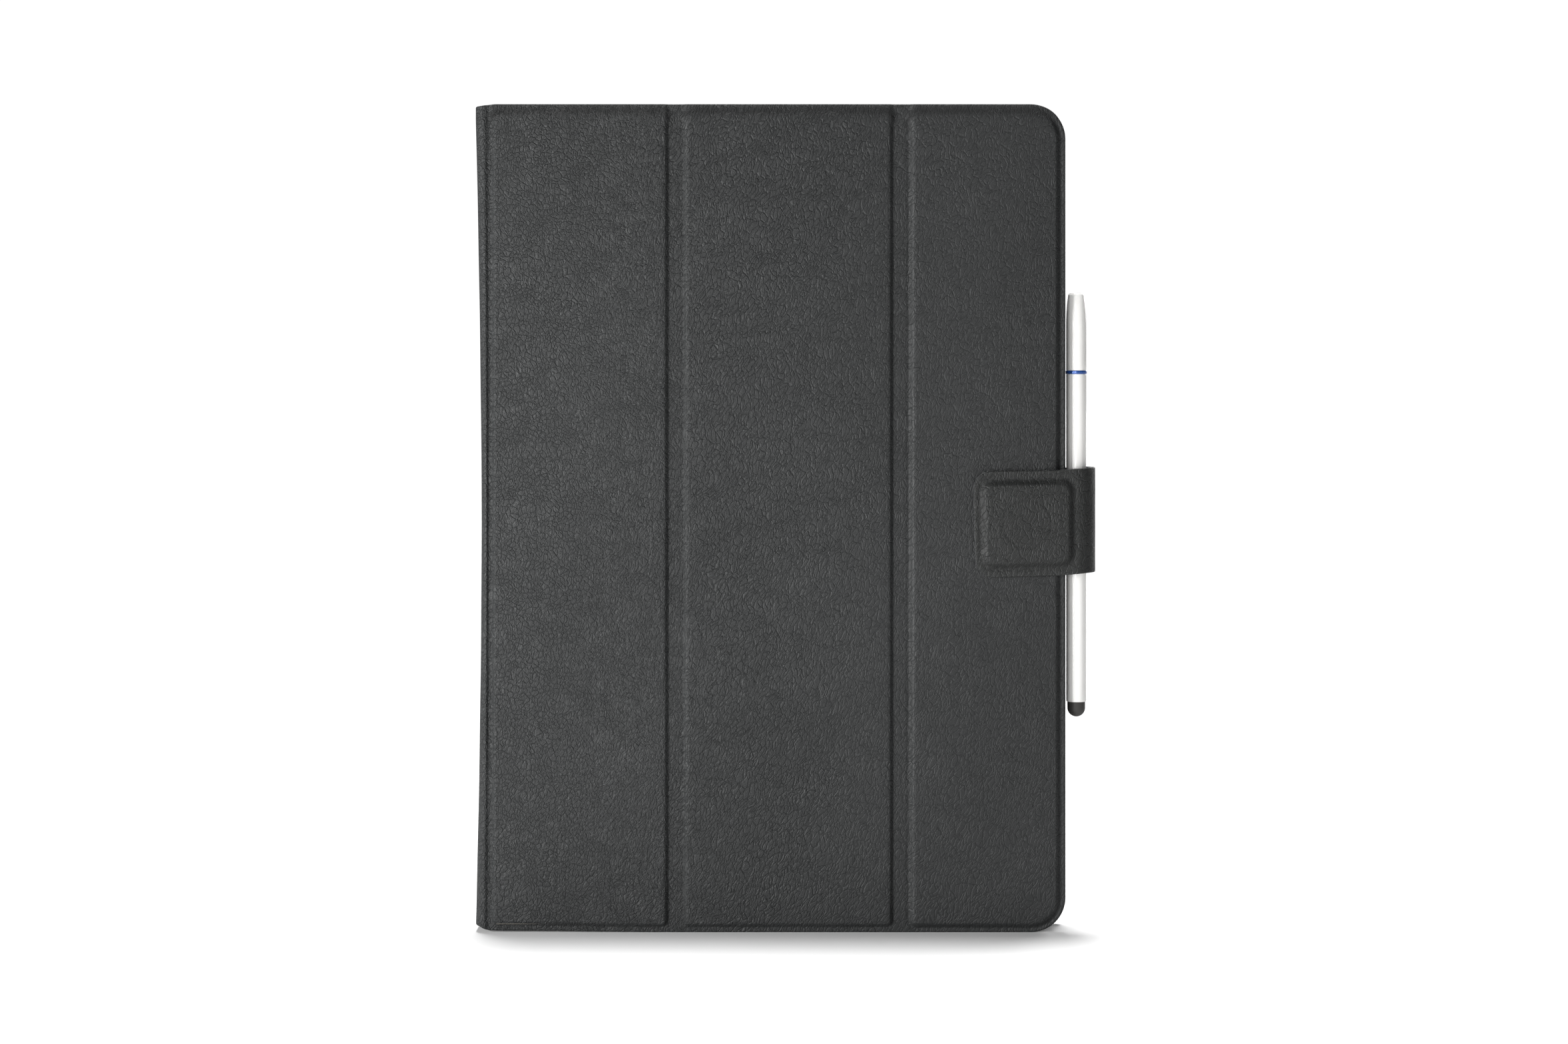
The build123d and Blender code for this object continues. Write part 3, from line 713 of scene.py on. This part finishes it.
# ---------------------------------------------------------------- back of the case
def drill(ob, x, z, r, angle=48):
    """A round hole right through, along Y."""
    me = bpy.data.meshes.new("drill")
    bm = bmesh.new()
    bmesh.ops.create_cone(bm, cap_ends=True, segments=96, radius1=r * MM, radius2=r * MM, depth=0.03)
    bm.to_mesh(me)
    bm.free()
    tool = bpy.data.objects.new("drill", me)
    tool.rotation_euler = (math.radians(90), 0, 0)
    tool.location = (x * MM, 0.008, z * MM)
    bpy.context.scene.collection.objects.link(tool)
    mod = ob.modifiers.new("hole", "BOOLEAN")
    mod.object = tool
    mod.operation = "DIFFERENCE"
    mod.solver = "EXACT"
    bpy.context.view_layer.update()
    dg = bpy.context.evaluated_depsgraph_get()
    new = bpy.data.meshes.new_from_object(ob.evaluated_get(dg))
    ob.modifiers.remove(mod)
    old = ob.data
    ob.data = new
    bpy.data.meshes.remove(old)
    bpy.data.objects.remove(tool)
    bpy.data.meshes.remove(me)
    dress(ob, angle)


xb = lines((-95.7, -93.0, 0.4), (-93, -88, 1.6), (-88, 60, 3.4), (60, 62, 2), (62, 81, 1.6), (81, 86, 1.2), (86, 88.8, 0.22))
back_loops = [(0.0, 1.0), (0.0, 1.8), (0.06, 2.3), (0.25, 2.58), (0.6, 2.7), (1.2, 2.7), (1.25, 2.64), (1.25, 2.12), (1.2, 2.06), (0.78, 2.0), (0.7, 1.9), (0.7, 0.8)]
back = build_shell("back_leather", path_back(0.0) + flat_run(xb, Y_BACK, 1.0), M["leather_shell"], 1,
                   0.7, 0.7, back_loops, 0.7, True, raised=False, wave=1.0)
drill(back, *CAM, 7.2)
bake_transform(back)
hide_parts("back_skin")

xbl = lines((-95.3, -93.2, 0.35), (-93, 60, 3.6), (60, 82, 1.8), (82, 87.5, 0.6))


# thin cloth under the tray; its free edges stop inside the turned-in leather
xbl = lines((-95.3, -93.2, 0.35), (-93, 60, 3.6), (60, 82, 1.8), (82, 88.8, 0.6))
back_lining = build_shell("back_lining_cloth", path_back_lining() + flat_run(xbl, 6.2, -1.0), M["microfibre"], 1,
                          0.58, 0.2, [(0.0, 0.45), (0.05, 0.55)], 0.3, True, raised=False, wave=0.0, shrink=1.3)
drill(back_lining, *CAM, 7.2)
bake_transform(back_lining)
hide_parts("back_lining")


# ---------------------------------------------------------------- board in the spine, bowed with it
def spine_strip():
    zs = np.linspace(4.0, 260.6, 60)
    ys = np.array([-2.85, -2.6, 0, 1.65, 3.3, 5.9, 6.15])
    Y, Z = np.meshgrid(ys, zs, indexing="ij")
    out = np.stack([-98.31 + bow(Z), Y, Z], -1)
    inn = np.stack([-97.67 + bow(Z), Y, Z], -1)
    ni, nj = Y.shape
    V = np.concatenate([out.reshape(-1, 3), inn.reshape(-1, 3)])
    idx = lambda i, j: i * nj + j
    b = ni * nj
    F = []
    for i in range(ni - 1):
        for j in range(nj - 1):
            q = (idx(i, j), idx(i + 1, j), idx(i + 1, j + 1), idx(i, j + 1))
            F += [q, tuple(b + k for k in q[::-1])]
    for i in range(ni - 1):
        for j in (0, nj - 1):
            F.append((idx(i, j), idx(i + 1, j), b + idx(i + 1, j), b + idx(i, j)))
    for j in range(nj - 1):
        for i in (0, ni - 1):
            F.append((idx(i, j), idx(i, j + 1), b + idx(i, j + 1), b + idx(i, j)))
    return finish_mesh("spine_board_bowed", V, F, M["greyboard"], angle=30)


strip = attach(spine_strip(), "spine")
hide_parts("spine_board")

# ---------------------------------------------------------------- closure strap
ZS = lines((STRAP_Z0, STRAP_Z0 + 1.2, 0.15), (STRAP_Z0 + 1.2, 116.0, 0.5), (115.6, 120.0, 0.36), (120, 140, 0.42), (140, 144.4, 0.36),
           (144.4, STRAP_Z1 - 1.2, 0.5), (STRAP_Z1 - 1.2, STRAP_Z1, 0.15))
FLAP_X0 = 60.3
PAD = (62.8, 91.2, 116.4, 143.6)


def flap_left(z):
    d = np.clip(np.maximum(STRAP_Z0 + 6 - z, z - (STRAP_Z1 - 6)), 0, 6)
    return FLAP_X0 + 6 - np.sqrt(np.maximum(0, 36 - d * d))


def strap_outline(x, z):
    return rounded(x, z, FLAP_X0, 400.0, STRAP_Z0, STRAP_Z1, 6.0, 0.0)


def tilt(x, z, flap):
    """The strap runs a little uphill from the tip of its flap round to its root."""
    f = (z - STRAP_Z0) / (STRAP_Z1 - STRAP_Z0)
    near, round_side = 0.8 - 0.4 * f, 0.75 - 0.05 * f
    if not flap:
        return x, z + (near + round_side) * smooth((x - 80.0) / 18.4)
    k = smooth((95.0 - x) / 18.0)
    return x - (z - 130.0) * 0.024 * k - 0.35 * k, z + near * np.clip((x - 62.0) / 26.5, 0, 1) + round_side * smooth((x - 86.0) / 12.4)


def strap_piece(name, stations, mat, t, edge_r, loops, inset, flap, pad=False, sag=0.0):
    S = np.array(stations)
    ni, nj = len(S), len(ZS)
    z = np.tile(ZS, (ni, 1))
    x, y = np.tile(S[:, 0:1], (1, nj)), np.tile(S[:, 1:2], (1, nj))
    nx, ny = np.tile(S[:, 2:3], (1, nj)), np.tile(S[:, 3:4], (1, nj))
    if flap:
        xs = 72.0
        x = np.where(x < xs, xs - (xs - x) * (xs - flap_left(z)) / (xs - FLAP_X0), x)
        d = strap_outline(x, z)
        e = 0.02
        gx = (strap_outline(x + e, z) - strap_outline(x - e, z)) / (2 * e)
        gz = (strap_outline(x, z + e) - strap_outline(x, z - e)) / (2 * e)
        ln = np.maximum(1e-9, np.hypot(gx, gz))
        mx, mz = -gx / ln, -gz / ln
        far = x > 68
        mx = np.where(far, 0.0, mx)
        mz = np.where(far, np.where(z < 130, -1.0, 1.0), mz)
    else:
        d = np.minimum(z - STRAP_Z0, STRAP_Z1 - z)
        mx, mz = np.zeros_like(x), np.where(z < 130, -1.0, 1.0)
    h = np.zeros_like(x)
    # painted highlight along the strap's outline edges
    edge = np.exp(-((d - 0.5) / 0.4) ** 2) * 0.6
    if pad:
        p = rounded(x, z, *PAD, 3.6, 3.6)
        h = 1.0 * smooth((p + 0.55) / 2.1) * (1 - 0.08 * np.exp(-np.maximum(p - 1.5, 0) / 3.0))
        h = h - 0.09 * np.exp(-((p + 0.9) / 0.55) ** 2)
        # plain debossed ring
        ring = np.hypot(x - 77.0, z - 130.0) - 7.6
        h = h - 0.11 * np.exp(-(ring / 0.30) ** 2)
        h = h + 0.025 * np.sin(0.31 * x + 0.2 * z) * np.sin(0.27 * z + 1.0) * smooth((d - 1) / 4)
        # painted highlight on the pad's left and upper edges
        edge = np.maximum(edge, 0.5 * np.exp(-((p - 1.6) / 0.6) ** 2) * smooth((84.0 - x) / 6.0) * smooth((z - 119.0) / 3.0))
        # painted shade at the pad's foot, stronger at its right and lower sides, and in the debossed ring
        foot_shade_weight = 0.55 + 0.45 * smooth((x - 84.0) / 6.0) + 0.3 * smooth((118.5 - z) / 2.0)
        edge = edge - 0.58 * np.clip(foot_shade_weight, 0, 1) * np.exp(-((p - 0.3) / 1.15) ** 2)
        edge = edge - 0.25 * np.exp(-(ring / 0.30) ** 2)
    fall = round_off(d, edge_r)
    span = 1.6
    move = np.where(d < span, inset * (1 - d / span), 0.0)

    xo, zo = tilt(x, z, flap)
    out = np.stack([xo + nx * (h - fall), y + ny * (h - fall), zo], -1)
    xi, zi = x - mx * move, z - mz * move
    xi, zi = tilt(xi, zi, flap)
    inn = np.stack([xi + nx * (h - t), y + ny * (h - t), zi], -1)
    m_dir = np.stack([mx, np.zeros_like(mx), mz], -1)
    n_dir = np.stack([nx, ny, np.zeros_like(nx)], -1)
    loops_base[name] = edge_r
    return slab(name, out, inn, m_dir, n_dir, loops, mat, right=flap, edge=edge)


def arc(cx, cy, r, a0, a1, n, inward=False):
    out = []
    for t in np.linspace(a0, a1, n):
        a = math.radians(t)
        s = -1.0 if inward else 1.0
        out.append((cx + r * math.cos(a), cy + r * math.sin(a), s * math.cos(a), s * math.sin(a)))
    return out


def strap_back_path(off, inward):
    s = -1.0 if inward else 1.0
    run = [(x, 8.2 - off, 0.0, s) for x in (80.0, 84.0, 87.5, 88.6, 89.4, 90.2, 91.0, 91.6)]
    return run + arc(92.4, 1.6, 6.6 - off, 90, 0, 18, inward) + [(99.0 - off, y, s, 0.0) for y in (0.9, 0.15)]


def strap_front_path(off, inward):
    s = -1.0 if inward else 1.0
    run = [(99.0 - off, y, s, 0.0) for y in (0.15, -0.7)] + arc(92.4, -1.3, 6.6 - off, 0, -90, 22, inward)
    xs = lines((61.0, 66.0, 0.3), (60.3, 61.0, 0.12), (66.0, 68.6, 0.4), (68.6, 85.4, 0.34), (85.4, 88, 0.4), (88, 91.7, 0.3))[::-1]
    return run + [(float(x), -7.9 + off, 0.0, -s) for x in xs]


strap_loops = [(0.02, 0.40), (0.02, 0.72), (0.07, 0.79)]
strap_back = strap_piece("strap_leather_back", strap_back_path(0.0, False), M["leather_strap"], 0.8, 0.32, strap_loops, 0.3, False)
strap_front = strap_piece("strap_leather_flap", strap_front_path(0.0, False), M["leather_strap"], 0.8, 0.32, strap_loops, 0.3, True, pad=True)
in_loops = [(0.0, 0.30), (0.0, 0.56)]
strap_back_in = strap_piece("strap_lining_back", strap_back_path(1.4, True), M["microfibre"], 0.58, 0.2, in_loops, 0.2, False)
strap_front_in = strap_piece("strap_lining_flap", strap_front_path(1.4, True), M["microfibre"], 0.58, 0.2, in_loops, 0.2, True)
for ob in (strap_back, strap_back_in):
    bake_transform(ob)
for ob in (strap_front, strap_front_in):
    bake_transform(ob)
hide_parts("strap_side_skin", "strap_root")
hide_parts("flap_skin")
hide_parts("strap_side_lining")
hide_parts("flap_lining")


def pad_board():
    """The stiff board inside the flap's pad, cut with rounded corners and softened at its front edge."""
    lo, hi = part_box("flap_board")
    x0, y0, z0 = (float(v) / MM for v in lo)
    x1, y1, z1 = (float(v) / MM for v in hi)
    r, n = 3.0, 10
    V, rings = [], []
    for inset, y in ((0.9, y1), (0.08, y1), (0.0, y1 - 0.08), (0.0, y0 + 0.30), (0.10, y0 + 0.10), (0.34, y0), (1.2, y0)):
        ring = []
        rr = max(0.6, r - inset)
        for cx, cz, a0 in ((x1 - inset - rr, z1 - inset - rr, 0), (x0 + inset + rr, z1 - inset - rr, 90),
                           (x0 + inset + rr, z0 + inset + rr, 180), (x1 - inset - rr, z0 + inset + rr, 270)):
            for k in range(n):
                t = math.radians(a0 + 90.0 * k / (n - 1))
                px, pz = tilt(np.array(cx + rr * math.cos(t)), np.array(cz + rr * math.sin(t)), True)
                ring.append(len(V))
                V.append((float(px), y, float(pz)))
        rings.append(ring)
    F = []
    m = len(rings[0])
    for p, q in zip(rings, rings[1:]):
        for k in range(m):
            j = (k + 1) % m
            F.append((p[k], p[j], q[j], q[k]))
    F += [tuple(rings[0][::-1]), tuple(rings[-1])]
    return finish_mesh("flap_board_cut", np.array(V), F, M["greyboard"], angle=35)


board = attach(pad_board(), "strap_flap")
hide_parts("flap_board")


# ---------------------------------------------------------------- elastic loop for the stylus
def pen_loop():
    z0, z1 = 120.0, 140.0
    n, ro, ri, tab_x, tab_h = 120, 3.8, 3.32, 97.5, 1.3
    th = np.linspace(0, 2 * math.pi, n, endpoint=False)
    tx = tab_x - PEN[0]
    R = []
    for a in th:
        c, s = math.cos(a), math.sin(a)
        r = ro
        if c > 0:
            hit = tx / c
            if abs(hit * s) <= tab_h + 0.9:
                r = max(r, min(hit, (tab_h + 0.9 * (1 - abs(hit * s) / (tab_h + 0.9))) / max(1e-6, abs(s)) if abs(s) > 1e-6 else hit, hit))
        R.append(r)
    R = np.array(R)
    R = (R + np.roll(R, 1) + np.roll(R, -1)) / 3
    R = np.minimum(R, np.where(np.cos(th) > 0, tx / np.maximum(np.cos(th), 1e-6), 1e9))
    zs = [z0 + 0.12] + list(np.linspace(z0 + 0.3, z1 - 0.3, 98)) + [z1 - 0.12]
    rings = []
    for k, z in enumerate(zs):
        rib = 0.055 * math.cos(2 * math.pi * (z - z0) / 1.0)
        pull = 0.12 if k in (0, len(zs) - 1) else 0.0
        stretch = 0.05 * math.sin(0.9 * z)
        rings.append([(PEN[0] + (r + (rib + stretch * 0.3) * (r < ro + 0.3) - pull) * math.cos(a), PEN[1] + (r + (rib + stretch * 0.3) * (r < ro + 0.3) - pull) * math.sin(a), z) for r, a in zip(R, th)])
    inner = []
    for z in (z1 - 0.02, z1 - 0.4, 130.0, z0 + 0.4, z0 + 0.02):
        inner.append([(PEN[0] + ri * math.cos(a), PEN[1] + ri * math.sin(a), z) for a in th])
    top = [[(PEN[0] + (ri + (r - ri) * f) * math.cos(a), PEN[1] + (ri + (r - ri) * f) * math.sin(a), z1 - 0.0) for r, a in zip(R, th)] for f in (0.7, 0.25)]
    low = [[(PEN[0] + (ri + (r - ri) * f) * math.cos(a), PEN[1] + (ri + (r - ri) * f) * math.sin(a), z0 + 0.0) for r, a in zip(R, th)] for f in (0.25, 0.7)]
    loops = rings + top + inner + low
    V = np.array([p for ring in loops for p in ring])
    F = []
    m = len(loops)
    for k in range(m):
        for i in range(n):
            j = (i + 1) % n
            a, b = k, (k + 1) % m
            F.append((a * n + i, a * n + j, b * n + j, b * n + i))
    return finish_mesh("stylus_loop_elastic", V, F, M["elastic"], angle=60)


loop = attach(pen_loop(), "strap_side")
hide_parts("pen_loop")


# ---------------------------------------------------------------- stylus
def lathe(name, profile, mat, node, n=96, angle=35):
    """profile: closed or axis-to-axis list of (radius, height)."""
    th = np.linspace(0, 2 * math.pi, n, endpoint=False)
    V, F, rows = [], [], []
    for r, z in profile:
        if r < 1e-6:
            rows.append([len(V)])
            V.append((PEN[0], PEN[1], z))
        else:
            rows.append(list(range(len(V), len(V) + n)))
            V += [(PEN[0] + r * math.cos(a), PEN[1] + r * math.sin(a), z) for a in th]
    closed = profile[0][0] > 1e-6
    pairs = list(zip(rows, rows[1:])) + ([(rows[-1], rows[0])] if closed else [])
    for a, b in pairs:
        for i in range(n):
            j = (i + 1) % n
            if len(a) == 1 and len(b) == 1:
                continue
            if len(a) == 1:
                F.append((a[0], b[j], b[i]))
            elif len(b) == 1:
                F.append((a[i], a[j], b[0]))
            else:
                F.append((a[i], a[j], b[j], b[i]))
    ob = finish_mesh(name, V, F, mat, angle=angle)
    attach(ob, "stylus")
    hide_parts(node)
    return ob


def curve(p0, p1, p2, n):
    """Quadratic curve through three control points, as (r, z)."""
    return [((1 - t) ** 2 * p0[0] + 2 * t * (1 - t) * p1[0] + t * t * p2[0],
             (1 - t) ** 2 * p0[1] + 2 * t * (1 - t) * p1[1] + t * t * p2[1]) for t in np.linspace(0, 1, n)]


lathe("stylus_white_barrel", [(2.42, 73.0), (3.04, 73.0)] + curve((3.04, 73.0), (3.2, 73.0), (3.2, 73.2), 4)[1:]
      + [(3.2, z) for z in np.linspace(74, 177, 27)] + curve((3.2, 177.8), (3.2, 178.0), (3.05, 178.0), 4) + [(2.42, 178.0)],
      M["white_barrel"], "stylus_barrel")
lathe("stylus_white_cap", [(0.0, 170.0), (2.36, 170.0), (2.36, 179.1), (3.05, 179.1)] + curve((3.05, 179.1), (3.2, 179.1), (3.2, 179.3), 4)[1:]
      + [(3.2, z) for z in (181, 184, 187, 190, 192.5)] + curve((3.2, 193.5), (3.19, 199.0), (2.66, 202.6), 12)
      + curve((2.62, 203.0), (2.56, 203.9), (1.7, 204.0), 8) + [(0.9, 204.05 - 0.05), (0.0, 204.0)],
      M["white_barrel"], "stylus_cap", angle=50)
lathe("stylus_blue_ring", [(2.41, 178.02), (3.28, 178.02)] + curve((3.28, 178.02), (3.38, 178.02), (3.38, 178.14), 4)[1:]
      + [(3.40, 178.55)] + curve((3.38, 178.96), (3.38, 179.08), (3.28, 179.08), 4) + [(2.41, 179.08)],
      M["blue_band"], "stylus_ring")
lathe("stylus_tip_cap", [(0.0, 78.9), (1.28, 78.9), (1.28, 72.9), (2.7, 72.9)] + curve((2.7, 72.9), (2.85, 72.9), (2.85, 72.7), 4)[1:]
      + [(2.85, z) for z in (72.2, 71.6)] + [(2.85 * math.cos(a), 70.95 - 2.85 * math.sin(a)) for a in np.linspace(0, math.pi / 2 * 0.96, 14)] + [(0.0, 68.1)],
      M["tip_rubber"], "stylus_tip", angle=50)

# ---------------------------------------------------------------- CAD nodes that stay
for name, ob in nodes.items():
    if ob.hide_render:
        continue
    slot = next((s for s, ns in SLOT.items() if ns and name in ns), None)
    if slot is None:
        for key, s in (("board", "greyboard"), ("tray", "tray_shell"), ("camera", "trim_plastic"), ("magnet", "magnet_nickel"),
                       ("plate", "steel"), ("strip", "steel"), ("ferrule", "ferrule_metal")):
            if key in name:
                slot = s
                break
    mat = M[slot]
    if not ob.data.materials:
        ob.data.materials.append(mat)
    for k in range(len(ob.material_slots)):
        ob.material_slots[k].material = mat
    print("kept", name, slot)

# ---------------------------------------------------------------- floor, light and camera
fl = Mat("floor_white", Roughness=0.85, Specular_IOR_Level=0.1)
fl.color(fl.mix(fl.ramp(fl.noise(fl.obj(), 0.002, 2.0), 0.3, 0.7), (0.80, 0.80, 0.80), (0.82, 0.82, 0.82)))
# the paper under the case throws back less light than it shows, as a table in a dark studio does
dim = fl.node("BsdfDiffuse", ins={"Color": (0.55, 0.55, 0.55, 1.0)})
seen_as = fl.node("MixShader", ins={0: fl.node("LightPath").outputs["Is Camera Ray"], 1: dim.outputs[0], 2: fl.b.outputs[0]})
fl.link(seen_as.outputs[0], fl.t.nodes["Material Output"].inputs["Surface"])
me = bpy.data.meshes.new("floor")
S = 14.0
me.from_pydata([(-S, -S, 0), (S, -S, 0), (S, S, 0), (-S, S, 0)], [], [(0, 1, 2, 3)])
me.materials.append(fl.m)
floor = bpy.data.objects.new("floor", me)
bpy.context.scene.collection.objects.link(floor)

world = bpy.data.worlds.new("studio")
bpy.context.scene.world = world
world.use_nodes = True
bg = world.node_tree.nodes["Background"]
bg.inputs["Color"].default_value = (1.0, 1.0, 1.0, 1.0)
bg.inputs["Strength"].default_value = 0.06
seen = world.node_tree.nodes.new("ShaderNodeBackground")
seen.inputs["Color"].default_value = (1.0, 1.0, 1.0, 1.0)
seen.inputs["Strength"].default_value = 1.05
path = world.node_tree.nodes.new("ShaderNodeLightPath")
either = world.node_tree.nodes.new("ShaderNodeMixShader")
world.node_tree.links.new(path.outputs["Is Camera Ray"], either.inputs[0])
world.node_tree.links.new(bg.outputs[0], either.inputs[1])
world.node_tree.links.new(seen.outputs[0], either.inputs[2])
world.node_tree.links.new(either.outputs[0], world.node_tree.nodes["World Output"].inputs["Surface"])


def lamp(name, kind, loc, target, power, size, size_y=None):
    d = bpy.data.lights.new(name, kind)
    d.energy = power
    if kind == "AREA":
        d.shape = "RECTANGLE"
        d.size = size
        d.size_y = size_y or size
    else:
        d.angle = math.radians(size)
    o = bpy.data.objects.new(name, d)
    o.location = loc
    o.rotation_euler = (Vector(target) - Vector(loc)).to_track_quat("-Z", "Y").to_euler()
    bpy.context.scene.collection.objects.link(o)
    o.visible_camera = False
    return o


lamp("overhead", "SUN", (0.0, 0.098, 1.0), (0, 0, 0), 3.9, 10.5)
lamp("key_left", "AREA", (-0.44, -0.39, 0.15), (0, 0, 0.13), 5.15, 0.32, 0.29)
lamp("fill_behind", "SUN", (0.7, 0.9, 0.45), (0, 0, 0), 1.5, 40)
lamp("fill_front", "AREA", (-0.22, -1.05, 0.22), (0, 0, 0.13), 3.0, 0.42)

cam_data = bpy.data.cameras.new("camera")
cam = bpy.data.objects.new("camera", cam_data)
bpy.context.scene.collection.objects.link(cam)
cam.location = (-0.0006, -0.8362, 0.176)
cam.rotation_euler = (math.radians(90), 0, 0)
cam_data.sensor_width = 36.0
cam_data.lens = 36.0 * 0.83 / 0.5 * 1.002
cam_data.shift_y = -0.0904
cam_data.dof.use_dof = False
cam_data.clip_start, cam_data.clip_end = 0.01, 60
bpy.context.scene.camera = cam
bpy.context.scene.view_settings.view_transform = "Standard"
bpy.context.scene.view_settings.look = "None"

bpy.context.view_layer.update()
